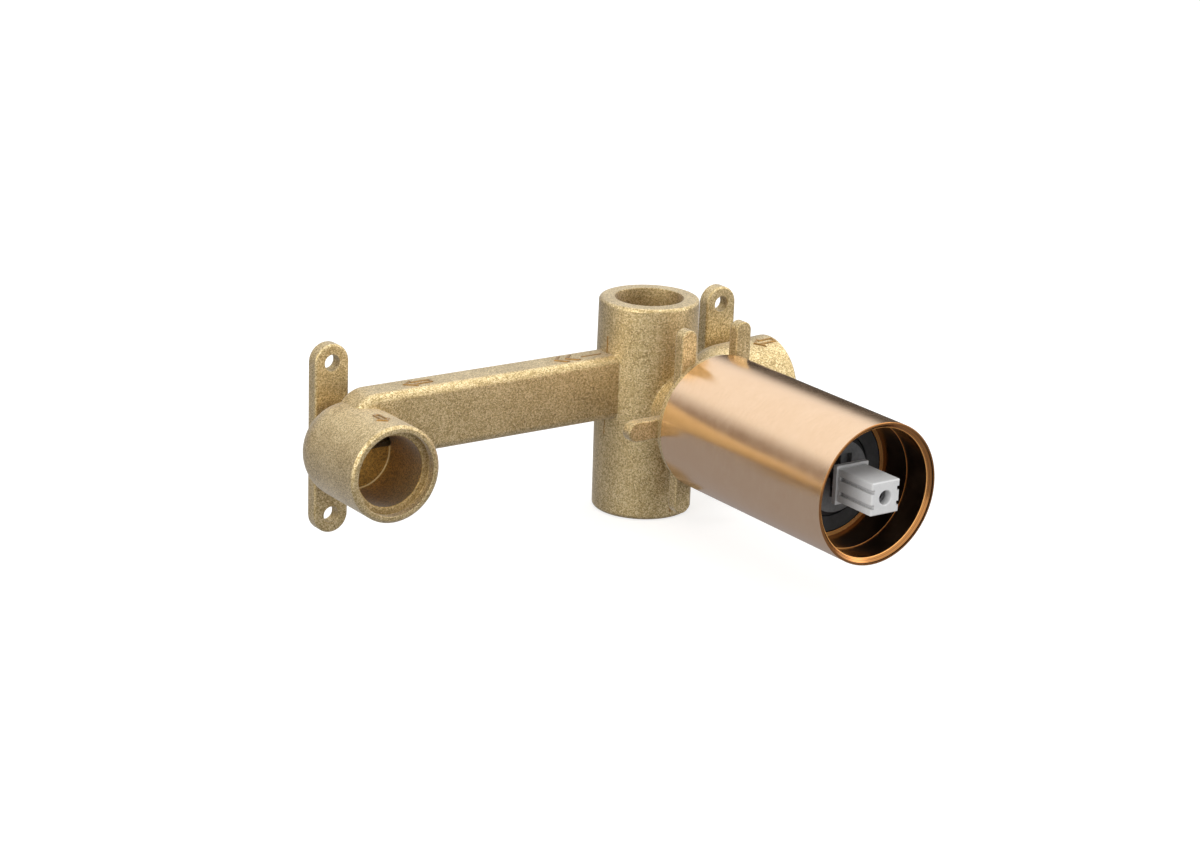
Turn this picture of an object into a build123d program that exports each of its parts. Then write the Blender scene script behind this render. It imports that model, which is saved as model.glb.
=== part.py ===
from build123d import *
import math
import os

os.makedirs("parts", exist_ok=True)

# Concealed valve body, in millimetres.
# The origin lies on the cartridge axis, in the plane of the wall that the ears rest on.
# +X points to the right hand inlet, +Y goes into the wall and +Z is up.

# Clearances
running_gap = 0.08
slip_gap = 0.1
seat_gap = 0.05

# Overrun of a cut past the surface it opens into
cut_overrun = 0.5

# Water ports with G1/2 female threads, drawn at their minor diameter
port_bore_radius = 9.32
port_thread_depth = 15.0

# Vertical tube
tube_x = -6.25
tube_wall = 4.18
tube_draft = 0.25
tube_half_height = 29.4
tube_edge_radius = 0.9
tube_wall_gap = 0.95

# Arm to the spout
arm_depth = 10.4
arm_bottom = -1.8
arm_height = 17.5
arm_overhang = 2.9
arm_edge_radius = 2.2
arm_corner_radius = 7.5
arm_wall = 2.2
arm_roof = 3.3
arm_floor = 2.4
channel_corner_radius = 1.5

# Spout socket with its domed back
spout_x = -97.2
spout_reach = 36.0
spout_ledge = 1.58
spout_rim = 1.8
spout_recess_depth = 3.1
spout_relief_depth = 0.35
spout_relief_width = 1.2
spout_channel_opening = 0.7
spout_edge_radius = 0.7
spout_dome_length = 10.2
spout_dome_drop = 8.3

# Screw ears
ear_thickness = 3.5
ear_half_width = 4.9
ear_hole_radius = 2.2
ear_hole_height = 20.5
ear_edge_radius = 0.6
right_ear_x = 26.8

# Right hand port
port_reach = 36.4
port_wall = 3.68
port_draft = 0.8
port_length = 16.0
port_shoulder = 8.0
port_waist_drop = 4.7
port_edge_radius = 0.8

# Neck, flange and locating tabs
neck_drop = 2.9
flange_front = 38.9
flange_thickness = 1.65
flange_overhang = 2.1
tab_thickness = 3.0
tab_half_width = 2.4
tab_spread = 8.93
tab_top = 26.0
tab_bottom = 24.8
level_tab_half_width = 2.65
level_tab_rise = 0.3
tab_side = 27.3
tab_edge_radius = 0.35

# Cartridge, from its seat to the front
seat_depth = 57.0
cartridge_radius = 12.5
cartridge_wall = 1.3
base_thickness = 4.6
base_pin_radius = 1.3
base_pin_length = 2.2
base_pin_spare = 0.3
base_pin_spread = 8.6
base_pin_rise = 4.6
port_seal_radius = 0.7
port_seal_gap = 0.1
port_seal_squeeze = 0.02
base_port_wall = 0.7
gasket_thickness = 1.1
gasket_rim = 1.1
gasket_web_radius = 3.6
fixed_disc_thickness = 3.4
moving_disc_margin = 2.3
moving_disc_thickness = 3.0
mixing_recess_radius = 5.6
mixing_recess_rise = 1.2
mixing_recess_depth = 1.6
carrier_thickness = 4.2
carrier_key_width = 1.6
carrier_key_height = 1.2
carrier_key_spread = 6.2
disc_lug_radius = 1.1
disc_lug_length = 1.2
disc_lug_spread = 6.2
guide_flange_thickness = 4.7
guide_flange_gap = 0.3
guide_length = 17.3
collar_thickness = 2.7
collar_wall = 1.62
collar_step = 1.3
cartridge_neck_length = 7.2

# Cored waterways
inlet_spread = 5.7
inlet_drop = 4.1
inlet_radius = 3.4
outlet_rise = 6.4
outlet_radius = 3.9
chamber_radius = 7.0
partition_top = 1.5
partition_bottom = -1.2
cold_chamber_radius = 4.2
cold_chamber_drop = 1.8
cold_chamber_end = 3.4

# Barrel that holds the cartridge
barrel_wall = 2.0
barrel_lead_chamfer = 0.5
nut_socket_wall = 1.5
nut_socket_depth = 6.9
nut_engagement = 6.2
seal_groove_depth = 1.3
seal_groove_width = 2.4
seal_section_radius = 0.95
seal_offset = 4.5
seal_pitch = 5.4

# Retaining nut
nut_flange_thickness = 1.5
nut_flange_gap = 0.3
slip_ring_thickness = 0.6

# Cover sleeve
sleeve_clearance = 0.7
sleeve_wall = 1.9
sleeve_skirt = 18.1
sleeve_mouth_step = 0.2
sleeve_mouth_depth = 8.9
sleeve_rear_chamfer = 0.3
sleeve_front_chamfer = 0.2
sleeve_lip = 0.6
sleeve_lip_depth = 0.5
sleeve_bevel_depth = 1.4
sleeve_shoulder_overlap = 0.4
sleeve_shoulder_rise = 1.5
sleeve_shoulder_thickness = 1.2
sleeve_thread_length = 9.0

# Lever and stem
pivot_rise = 6.0
lever_tilt = 12.0
lever_width = 3.8
lever_height = 5.0
lever_reach = 27.7
lever_shank_radius = 1.6
lever_ball_radius = 2.2
lever_ball_sink = 1.2
ball_clearance = 0.25
lever_chamfer = 0.4
lever_screw_radius = 1.05
lever_screw_depth = 9.0
lever_pin_radius = 1.25
lever_pin_inset = 0.6
guide_slot_gap = 0.25
guide_recess_width = 8.6
guide_recess_height = 5.7
guide_recess_depth = 1.6
stem_width = 8.9
stem_height = 8.6
stem_cap = 2.5
stem_flange_size = 10.2
stem_flange_reach = 17.0
stem_flange_thickness = 1.3
stem_edge_radius = 0.3
stem_groove_width = 1.15
stem_groove_depth = 0.9
stem_groove_spread = 1.95
stem_groove_margin = 0.8
stem_hole_radius = 1.9
stem_hole_chamfer = 0.2

# Derived sizes of the casting
tube_end_radius = port_bore_radius + tube_wall
waterway_depth = tube_end_radius + tube_draft + tube_wall_gap
spout_recess_radius = port_bore_radius + spout_ledge
spout_radius = spout_recess_radius + spout_rim
spout_root_radius = spout_radius - spout_dome_drop
port_radius = port_bore_radius + port_wall
port_waist_radius = port_radius - port_draft - port_waist_drop
nut_socket_radius = cartridge_radius + nut_socket_wall
barrel_radius = nut_socket_radius + barrel_wall
neck_radius = barrel_radius - neck_drop
flange_radius = barrel_radius + flange_overhang
seal_first = flange_front + seal_offset

# Derived sizes of the cartridge
cartridge_bore_radius = cartridge_radius - cartridge_wall
cartridge_neck_radius = cartridge_radius - collar_step
moving_disc_radius = cartridge_bore_radius - moving_disc_margin
guide_flange_radius = cartridge_bore_radius - guide_flange_gap
guide_radius = cartridge_neck_radius - collar_wall - running_gap
base_flange_radius = cartridge_radius - 2 * slip_gap
base_front = seat_depth + seat_gap + base_thickness
fixed_disc_back = base_front + seat_gap
fixed_disc_front = fixed_disc_back + fixed_disc_thickness
moving_disc_back = fixed_disc_front + seat_gap
moving_disc_front = moving_disc_back + moving_disc_thickness
carrier_back = moving_disc_front + seat_gap
carrier_front = carrier_back + carrier_thickness
guide_back = carrier_front + slip_gap
guide_flange_front = guide_back + guide_flange_thickness
guide_front = guide_back + guide_length
cartridge_shoulder = guide_flange_front + slip_gap + collar_thickness
cartridge_front = cartridge_shoulder + cartridge_neck_length
barrel_front = cartridge_shoulder + nut_engagement

# Derived sizes of the sleeve and the nut
sleeve_back = flange_front + seat_gap
sleeve_bore_radius = barrel_radius + sleeve_clearance
sleeve_mouth_radius = sleeve_bore_radius + sleeve_mouth_step
sleeve_radius = sleeve_bore_radius + sleeve_wall
sleeve_shoulder_radius = barrel_radius - sleeve_shoulder_overlap
sleeve_shoulder_front = barrel_front + sleeve_shoulder_rise
sleeve_front = sleeve_shoulder_front + sleeve_skirt
nut_flange_radius = sleeve_shoulder_radius - nut_flange_gap

# Derived sizes of the lever and the stem
pivot_depth = guide_back + pivot_rise
lever_ball_depth = carrier_front - lever_ball_sink
lever_front = pivot_depth + lever_reach
stem_flange_front = pivot_depth + stem_flange_reach
stem_front = lever_front + stem_cap

# Derived places
cartridge_axis = Axis((0, 0, 0), (0, 1, 0))
waterway_y = -waterway_depth
port_axis = Axis((0, waterway_y, 0), (1, 0, 0))
tube_axis = Axis((tube_x, waterway_y, 0), (0, 0, 1))
spout_axis = Axis((spout_x, 0, 0), (0, 1, 0))
channel_height = arm_height - arm_roof - arm_floor
channel_middle = arm_bottom + arm_floor + channel_height / 2
channel_depth = arm_depth - 2 * arm_wall
spout_floor = waterway_depth + channel_depth / 2 - spout_channel_opening
tab_front = flange_front - flange_thickness


def front_plane(depth):
    """Plane parallel to the wall, with its normal towards the room."""
    return Plane.XZ.offset(depth)


def outline(points):
    """Flat face in the XY plane, bounded by straight lines through the points."""
    with BuildSketch(Plane.XY) as face:
        with BuildLine():
            Polyline(*points, close=True)
        make_face()
    return face.sketch


def ring_outline(inner, outer, back, front):
    """Section of a ring about the cartridge axis, from the back depth to the front depth."""
    return outline([(inner, -back), (outer, -back), (outer, -front), (inner, -front)])


def finish(piece, label):
    """Name a piece and write it."""
    piece.part.label = label
    export_step(piece.part, f"parts/{label}.step")


# Screw ear, drawn about the cartridge axis
with BuildPart() as ear:
    with BuildSketch(front_plane(0)):
        SlotCenterToCenter(2 * ear_hole_height, 2 * ear_half_width, rotation=90)
    extrude(amount=ear_thickness)
    fillet(ear.edges().group_by(Axis.Y)[0], ear_edge_radius)
    with BuildSketch(front_plane(0)):
        with Locations((0, ear_hole_height), (0, -ear_hole_height)):
            Circle(ear_hole_radius)
    extrude(amount=ear_thickness, mode=Mode.SUBTRACT)

# Locating tabs that stand out from the neck: two upright bars and a level one, all in one plate
with BuildPart() as tabs:
    with BuildSketch(front_plane(tab_front - tab_thickness)):
        upright_middle = (tab_top - tab_bottom) / 2
        with Locations((-tab_spread, upright_middle), (tab_spread, upright_middle)):
            SlotOverall(tab_top + tab_bottom, 2 * tab_half_width, rotation=90)
        with Locations((0, level_tab_rise)):
            SlotOverall(2 * tab_side, 2 * level_tab_half_width)
    extrude(amount=tab_thickness)
    fillet(tabs.edges().group_by(Axis.Y)[0], tab_edge_radius)

# Valve body: one casting
with BuildPart() as valve_body:
    # Arm
    with BuildSketch(front_plane(waterway_depth - arm_depth / 2)):
        with BuildLine():
            arm_left = spout_x - arm_overhang
            arm_top = arm_bottom + arm_height
            FilletPolyline(
                (tube_x, arm_bottom), (arm_left, arm_bottom), (arm_left, arm_top), (tube_x, arm_top),
                radius=min(arm_corner_radius, arm_height / 2 - slip_gap), close=False)
            Line((tube_x, arm_top), (tube_x, arm_bottom))
        make_face()
    extrude(amount=arm_depth)
    arm_faces = valve_body.faces().filter_by(Axis.Y)
    arm_rims = arm_faces[0].edges() + arm_faces[1].edges()
    fillet([edge for edge in arm_rims if edge.center().X < tube_x - arm_edge_radius], arm_edge_radius)
    # Vertical tube, widest in the middle as it leaves the mould
    with BuildSketch(Plane.XZ.offset(waterway_depth)):
        with BuildLine():
            FilletPolyline(
                (tube_x, -tube_half_height), (tube_x + tube_end_radius, -tube_half_height),
                (tube_x + tube_end_radius + tube_draft, 0),
                (tube_x + tube_end_radius, tube_half_height), (tube_x, tube_half_height),
                radius=tube_edge_radius)
            Line((tube_x, tube_half_height), (tube_x, -tube_half_height))
        make_face()
    revolve(axis=tube_axis)
    # Spout socket with its domed back
    with BuildSketch(Plane.XY):
        with BuildLine():
            spout_side = Polyline(
                (spout_x, -spout_reach), (spout_x + spout_radius - spout_edge_radius, -spout_reach),
                (spout_x + spout_radius, -spout_reach + spout_edge_radius),
                (spout_x + spout_radius, -ear_thickness - spout_dome_length))
            spout_back = TangentArc(
                spout_side @ 1, (spout_x + spout_root_radius, -ear_thickness), tangent=spout_side % 1)
            Polyline(
                spout_back @ 1, (spout_x + spout_root_radius, 0), (spout_x, 0), (spout_x, -spout_reach))
        make_face()
    revolve(axis=spout_axis)
    # Right hand port with its rounded shoulder and waist
    with BuildSketch(Plane.XY):
        with BuildLine():
            shoulder_x = port_reach - port_length
            shoulder_radius = port_radius - port_draft
            port_side = Polyline(
                (tube_x, waterway_y), (port_reach, waterway_y),
                (port_reach, waterway_y + port_radius - port_edge_radius),
                (port_reach - port_edge_radius, waterway_y + port_radius),
                (shoulder_x, waterway_y + shoulder_radius))
            port_round = TangentArc(
                port_side @ 1, (shoulder_x - port_shoulder, waterway_y + port_waist_radius),
                tangent=port_side % 1)
            Polyline(
                port_round @ 1, (tube_x, waterway_y + port_waist_radius), (tube_x, waterway_y))
        make_face()
    revolve(axis=port_axis)
    # Neck, flange and barrel
    revolve(ring_outline(0, neck_radius, waterway_depth, tab_front), axis=cartridge_axis)
    revolve(ring_outline(0, flange_radius, tab_front, flange_front), axis=cartridge_axis)
    barrel_profile = outline([
        (0, -flange_front), (barrel_radius, -flange_front),
        (barrel_radius, -barrel_front + barrel_lead_chamfer),
        (barrel_radius - barrel_lead_chamfer, -barrel_front), (0, -barrel_front)])
    revolve(barrel_profile, axis=cartridge_axis)
    # Ears and tabs
    with Locations((spout_x, 0, 0), (right_ear_x, 0, 0)):
        add(ear.part)
    add(tabs.part)
    # Cartridge socket
    socket_profile = outline([
        (0, -seat_depth), (cartridge_radius + slip_gap, -seat_depth),
        (cartridge_radius + slip_gap, -barrel_front + nut_socket_depth),
        (nut_socket_radius, -barrel_front + nut_socket_depth),
        (nut_socket_radius, -barrel_front), (0, -barrel_front)])
    revolve(socket_profile, axis=cartridge_axis, mode=Mode.SUBTRACT)
    for groove in (seal_first, seal_first + seal_pitch):
        revolve(
            ring_outline(barrel_radius - seal_groove_depth, barrel_radius + cut_overrun,
                         groove, groove + seal_groove_width),
            axis=cartridge_axis, mode=Mode.SUBTRACT)
    # Seat channels and the holes of the locating pins
    with BuildSketch(front_plane(waterway_depth)):
        with Locations((-inlet_spread, -inlet_drop), (inlet_spread, -inlet_drop)):
            Circle(inlet_radius)
        with Locations((0, outlet_rise)):
            Circle(outlet_radius)
    extrude(amount=seat_depth - waterway_depth + cut_overrun, mode=Mode.SUBTRACT)
    with BuildSketch(front_plane(seat_depth - base_pin_length - base_pin_spare)):
        with Locations((-base_pin_spread, base_pin_rise), (base_pin_spread, base_pin_rise)):
            Circle(base_pin_radius + slip_gap)
    extrude(amount=base_pin_length + base_pin_spare + cut_overrun, mode=Mode.SUBTRACT)
    # Upper and lower chambers of the tube, kept apart by a partition
    tube_plane = Plane((tube_x, waterway_y, 0))
    with BuildSketch(tube_plane.offset(partition_top)):
        Circle(chamber_radius)
    extrude(amount=tube_half_height - partition_top, mode=Mode.SUBTRACT)
    with BuildSketch(tube_plane.offset(partition_bottom)):
        Circle(chamber_radius)
    extrude(amount=-tube_half_height - partition_bottom, mode=Mode.SUBTRACT)
    with BuildSketch(tube_plane.offset(tube_half_height), tube_plane.offset(-tube_half_height)):
        Circle(port_bore_radius)
    extrude(amount=port_thread_depth, both=True, mode=Mode.SUBTRACT)
    # Right hand port and its cold chamber
    port_plane = Plane((port_reach, waterway_y, 0), x_dir=(0, 1, 0), z_dir=(1, 0, 0))
    with BuildSketch(port_plane):
        Circle(port_bore_radius)
    extrude(amount=-port_thread_depth, mode=Mode.SUBTRACT)
    with BuildSketch(port_plane):
        with Locations((0, -cold_chamber_drop)):
            Circle(cold_chamber_radius)
    extrude(amount=-(port_reach - cold_chamber_end), mode=Mode.SUBTRACT)
    # Channel along the arm
    with BuildSketch(Plane((spout_x, waterway_y, 0), x_dir=(0, 0, 1), z_dir=(1, 0, 0))):
        with Locations((channel_middle, 0)):
            RectangleRounded(channel_height, channel_depth, channel_corner_radius)
    extrude(amount=tube_x - spout_x, mode=Mode.SUBTRACT)
    # Spout socket, its floor cut into the channel, with a relief groove at the foot of the recess
    with BuildSketch(front_plane(spout_floor)):
        with Locations((spout_x, 0)):
            Circle(port_bore_radius)
    extrude(amount=spout_reach - spout_floor, mode=Mode.SUBTRACT)
    with BuildSketch(front_plane(spout_reach)):
        with Locations((spout_x, 0)):
            Circle(spout_recess_radius)
    extrude(amount=-spout_recess_depth, mode=Mode.SUBTRACT)
    with BuildSketch(front_plane(spout_reach - spout_recess_depth)):
        with Locations((spout_x, 0)):
            Circle(spout_recess_radius + spout_relief_depth)
    extrude(amount=spout_relief_width, mode=Mode.SUBTRACT)
finish(valve_body, "valve_body")

# Cover sleeve
with BuildPart() as cover_sleeve:
    shoulder_back = sleeve_shoulder_front - sleeve_shoulder_thickness
    thread_radius = barrel_radius + slip_gap
    mouth_step = sleeve_front - sleeve_mouth_depth
    revolve(
        outline([
            (sleeve_bore_radius, -sleeve_back), (sleeve_radius - sleeve_rear_chamfer, -sleeve_back),
            (sleeve_radius, -sleeve_back - sleeve_rear_chamfer),
            (sleeve_radius, -sleeve_front + sleeve_front_chamfer),
            (sleeve_radius - sleeve_front_chamfer, -sleeve_front),
            (sleeve_radius - sleeve_lip, -sleeve_front),
            (sleeve_radius - sleeve_lip, -sleeve_front + sleeve_lip_depth),
            (sleeve_mouth_radius, -sleeve_front + sleeve_bevel_depth),
            (sleeve_mouth_radius, -mouth_step), (sleeve_bore_radius, -mouth_step),
            (sleeve_bore_radius, -sleeve_shoulder_front),
            (sleeve_shoulder_radius, -sleeve_shoulder_front),
            (sleeve_shoulder_radius, -shoulder_back),
            (thread_radius, -shoulder_back),
            (thread_radius, -shoulder_back + sleeve_thread_length),
            (sleeve_bore_radius, -shoulder_back + sleeve_thread_length)]),
        axis=cartridge_axis)
finish(cover_sleeve, "cover_sleeve")

# O-rings between barrel and sleeve
for seal_name, groove in (("rear", seal_first), ("front", seal_first + seal_pitch)):
    with BuildPart() as sleeve_seal:
        with BuildSketch(Plane.XY):
            with Locations((barrel_radius - seal_groove_depth + seal_section_radius + seat_gap,
                            -groove - seal_groove_width / 2)):
                Circle(seal_section_radius)
        revolve(axis=cartridge_axis)
    finish(sleeve_seal, f"sleeve_seal_{seal_name}")

# Retaining nut, its tube in the barrel and its flange over the rim
with BuildPart() as cartridge_nut:
    nut_back = cartridge_shoulder + slip_ring_thickness + 2 * seat_gap
    nut_rim = barrel_front + seat_gap
    nut_bore_radius = cartridge_neck_radius + slip_gap
    revolve(
        outline([
            (nut_bore_radius, -nut_back), (nut_socket_radius - slip_gap, -nut_back),
            (nut_socket_radius - slip_gap, -nut_rim), (nut_flange_radius, -nut_rim),
            (nut_flange_radius, -nut_rim - nut_flange_thickness),
            (nut_bore_radius, -nut_rim - nut_flange_thickness)]),
        axis=cartridge_axis)
finish(cartridge_nut, "cartridge_nut")

# Slip ring under the nut
with BuildPart() as nut_slip_ring:
    slip_ring_back = cartridge_shoulder + seat_gap
    revolve(
        ring_outline(cartridge_neck_radius + slip_gap, cartridge_radius,
                     slip_ring_back, slip_ring_back + slip_ring_thickness),
        axis=cartridge_axis)
finish(nut_slip_ring, "nut_slip_ring")

# Cartridge body: a cup whose front collar holds the turning guide
with BuildPart() as cartridge_body:
    cup_back = base_front + seat_gap
    collar_back = guide_flange_front + slip_gap
    revolve(
        outline([
            (cartridge_bore_radius, -cup_back), (cartridge_radius, -cup_back),
            (cartridge_radius, -cartridge_shoulder), (cartridge_neck_radius, -cartridge_shoulder),
            (cartridge_neck_radius, -cartridge_front), (guide_radius + running_gap, -cartridge_front),
            (guide_radius + running_gap, -collar_back), (cartridge_bore_radius, -collar_back)]),
        axis=cartridge_axis)
finish(cartridge_body, "cartridge_body")

# Cartridge base with its ports, seal recesses and locating pins
seat_ports = {
    "hot_inlet": (-inlet_spread, -inlet_drop, inlet_radius),
    "cold_inlet": (inlet_spread, -inlet_drop, inlet_radius),
    "outlet": (0, outlet_rise, outlet_radius)}
with BuildPart() as cartridge_base:
    base_back = seat_depth + seat_gap
    with BuildSketch(front_plane(base_back)):
        Circle(base_flange_radius)
    extrude(amount=base_thickness)
    with BuildSketch(front_plane(base_back)):
        with Locations((-base_pin_spread, base_pin_rise), (base_pin_spread, base_pin_rise)):
            Circle(base_pin_radius)
    extrude(amount=-base_pin_length)
    for port_x, port_z, seat_port_radius in seat_ports.values():
        with BuildSketch(front_plane(base_back)):
            with Locations((port_x, port_z)):
                Circle(seat_port_radius - base_port_wall)
        extrude(amount=base_thickness, mode=Mode.SUBTRACT)
        with BuildSketch(front_plane(base_back)):
            with Locations((port_x, port_z)):
                Circle(seat_port_radius - base_port_wall + 2 * (port_seal_radius + port_seal_gap))
        extrude(amount=2 * port_seal_radius, mode=Mode.SUBTRACT)
    with BuildSketch(front_plane(base_front)):
        Circle(gasket_web_radius + slip_gap)
        for port_x, port_z, seat_port_radius in seat_ports.values():
            with Locations((port_x, port_z)):
                Circle(seat_port_radius - base_port_wall + gasket_rim + slip_gap)
    extrude(amount=-gasket_thickness, mode=Mode.SUBTRACT)
finish(cartridge_base, "cartridge_base")

# Rings between base and seat
for port_name, (port_x, port_z, seat_port_radius) in seat_ports.items():
    with BuildPart() as port_seal:
        with BuildSketch(Plane.XY.offset(port_z)):
            with Locations((port_x + seat_port_radius - base_port_wall + port_seal_radius + port_seal_gap,
                            -base_back - port_seal_radius)):
                Circle(port_seal_radius - port_seal_squeeze)
        revolve(axis=Axis((port_x, 0, port_z), (0, 1, 0)))
    finish(port_seal, f"{port_name}_seal")

# Shaped gasket between base and fixed disc: rings round the three ports, joined in the middle
with BuildPart() as disc_gasket:
    gasket_back = base_front - gasket_thickness
    with BuildSketch(front_plane(gasket_back + seat_gap)):
        Circle(gasket_web_radius)
        for port_x, port_z, seat_port_radius in seat_ports.values():
            with Locations((port_x, port_z)):
                Circle(seat_port_radius - base_port_wall + gasket_rim)
        for port_x, port_z, seat_port_radius in seat_ports.values():
            with Locations((port_x, port_z)):
                Circle(seat_port_radius - base_port_wall, mode=Mode.SUBTRACT)
    extrude(amount=gasket_thickness - seat_gap)
finish(disc_gasket, "disc_gasket")

# Fixed ceramic disc with the two inlet ports and the outlet port
with BuildPart() as fixed_disc:
    with BuildSketch(front_plane(fixed_disc_back)):
        Circle(cartridge_bore_radius - slip_gap)
        for port_x, port_z, seat_port_radius in seat_ports.values():
            with Locations((port_x, port_z)):
                Circle(seat_port_radius - base_port_wall, mode=Mode.SUBTRACT)
    extrude(amount=fixed_disc_thickness)
finish(fixed_disc, "fixed_disc")

# Moving ceramic disc with the recess in which the water mixes
disc_lug_places = [(-disc_lug_spread, 0), (disc_lug_spread, 0)]
with BuildPart() as moving_disc:
    with BuildSketch(front_plane(moving_disc_back)):
        Circle(moving_disc_radius)
    extrude(amount=moving_disc_thickness)
    with BuildSketch(front_plane(moving_disc_back)):
        with Locations((0, mixing_recess_rise)):
            Circle(mixing_recess_radius)
    extrude(amount=mixing_recess_depth, mode=Mode.SUBTRACT)
    with BuildSketch(front_plane(moving_disc_front)):
        with Locations(*disc_lug_places):
            Circle(disc_lug_radius + seat_gap)
    extrude(amount=-disc_lug_length - slip_gap, mode=Mode.SUBTRACT)
finish(moving_disc, "moving_disc")

# Carrier: lugs hold the moving disc, keys slide in the turning guide, the socket takes the lever
with BuildPart() as disc_carrier:
    with BuildSketch(front_plane(carrier_back)):
        Circle(moving_disc_radius)
    extrude(amount=carrier_thickness)
    with BuildSketch(front_plane(carrier_back)):
        with Locations(*disc_lug_places):
            Circle(disc_lug_radius)
    extrude(amount=-disc_lug_length)
    key_length = 2 * math.sqrt(moving_disc_radius ** 2 - (carrier_key_spread + carrier_key_width / 2) ** 2)
    with BuildSketch(front_plane(carrier_front)):
        with Locations((-carrier_key_spread, 0), (carrier_key_spread, 0)):
            Rectangle(carrier_key_width, key_length)
    extrude(amount=carrier_key_height)
    socket_floor = lever_ball_depth - lever_ball_radius - ball_clearance
    with BuildSketch(front_plane(carrier_front)):
        Circle(lever_ball_radius + seat_gap)
    extrude(amount=-(carrier_front - socket_floor), mode=Mode.SUBTRACT)
finish(disc_carrier, "disc_carrier")

# Turning guide: the lever tilts in its slot and the carrier slides in its grooves
tilt = math.radians(lever_tilt)
with BuildPart() as turning_guide:
    revolve(
        outline([
            (0, -guide_back), (guide_flange_radius, -guide_back),
            (guide_flange_radius, -guide_flange_front), (guide_radius, -guide_flange_front),
            (guide_radius, -guide_front), (0, -guide_front)]),
        axis=cartridge_axis)
    with BuildSketch(front_plane(guide_front)):
        Rectangle(guide_recess_width, guide_recess_height, align=(Align.CENTER, Align.MIN))
    extrude(amount=-guide_recess_depth, mode=Mode.SUBTRACT)
    slot_waist = lever_height / 2 / math.cos(tilt) + guide_slot_gap
    slot_front = slot_waist + (guide_front - pivot_depth) * math.tan(tilt)
    slot_back = slot_waist + (pivot_depth - guide_back) * math.tan(tilt)
    with BuildSketch(Plane.YZ):
        with BuildLine():
            Polyline(
                (-guide_front, -slot_front), (-pivot_depth, -slot_waist), (-guide_back, -slot_back),
                (-guide_back, slot_back), (-pivot_depth, slot_waist), (-guide_front, slot_front),
                close=True)
        make_face()
    extrude(amount=lever_width / 2 + guide_slot_gap, both=True, mode=Mode.SUBTRACT)
    with BuildSketch(front_plane(guide_back)):
        with Locations((-carrier_key_spread, 0), (carrier_key_spread, 0)):
            Rectangle(carrier_key_width + 2 * slip_gap, 2 * guide_flange_radius)
    extrude(amount=carrier_key_height + slip_gap, mode=Mode.SUBTRACT)
    with BuildSketch(Plane.YZ):
        with Locations((-pivot_depth, 0)):
            Circle(lever_pin_radius + seat_gap)
    extrude(amount=guide_radius, both=True, mode=Mode.SUBTRACT)
finish(turning_guide, "turning_guide")

# Lever pin across the guide
with BuildPart() as lever_pin:
    with BuildSketch(Plane.YZ):
        with Locations((-pivot_depth, 0)):
            Circle(lever_pin_radius)
    extrude(amount=guide_radius - lever_pin_inset, both=True)
finish(lever_pin, "lever_pin")

# Lever: square spindle in front of the pin, shank and ball behind it
with BuildPart() as lever:
    shank_front = pivot_depth - lever_height / 2
    with BuildSketch(front_plane(shank_front)):
        Rectangle(lever_width, lever_height)
    extrude(amount=lever_front - shank_front)
    chamfer(lever.edges().group_by(Axis.Y)[0], lever_chamfer)
    with BuildSketch(front_plane(lever_ball_depth)):
        Circle(lever_shank_radius)
    extrude(amount=shank_front - lever_ball_depth + lever_chamfer)
    with Locations((0, -lever_ball_depth, 0)):
        Sphere(lever_ball_radius)
    with BuildSketch(Plane.YZ):
        with Locations((-pivot_depth, 0)):
            Circle(lever_pin_radius + seat_gap)
    extrude(amount=lever_width, both=True, mode=Mode.SUBTRACT)
    with BuildSketch(front_plane(lever_front)):
        Circle(lever_screw_radius)
    extrude(amount=-lever_screw_depth, mode=Mode.SUBTRACT)
finish(lever, "lever")

# Stem adapter: grooved square sleeve with a rear flange, pushed over the lever
with BuildPart() as stem_adapter:
    stem_back = stem_flange_front - stem_flange_thickness
    with BuildSketch(front_plane(stem_back)):
        Rectangle(stem_width, stem_height)
    extrude(amount=stem_front - stem_back)
    fillet(stem_adapter.edges().filter_by(Axis.Y), stem_edge_radius)
    chamfer(stem_adapter.edges().group_by(Axis.Y)[0], stem_edge_radius)
    groove_start = stem_flange_front + stem_groove_margin
    with BuildSketch(front_plane(groove_start)):
        with GridLocations(stem_width, 2 * stem_groove_spread, 2, 2):
            Rectangle(2 * stem_groove_depth, stem_groove_width)
    extrude(amount=stem_front - groove_start, mode=Mode.SUBTRACT)
    with BuildSketch(front_plane(stem_back)):
        RectangleRounded(stem_flange_size, stem_flange_size, stem_edge_radius)
    extrude(amount=stem_flange_thickness)
    with BuildSketch(front_plane(stem_back)):
        Rectangle(lever_width + 2 * seat_gap, lever_height + 2 * seat_gap)
    extrude(amount=lever_front + seat_gap - stem_back, mode=Mode.SUBTRACT)
    with BuildSketch(front_plane(stem_front)):
        Circle(stem_hole_radius)
    extrude(amount=-(stem_front - lever_front), mode=Mode.SUBTRACT)
    revolve(
        outline([
            (0, -stem_front), (stem_hole_radius + stem_hole_chamfer, -stem_front),
            (0, -stem_front + stem_hole_radius + stem_hole_chamfer)]),
        axis=cartridge_axis, mode=Mode.SUBTRACT)
finish(stem_adapter, "stem_adapter")
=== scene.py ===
import math

import bmesh
import bpy
from mathutils import Matrix, Vector


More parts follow.
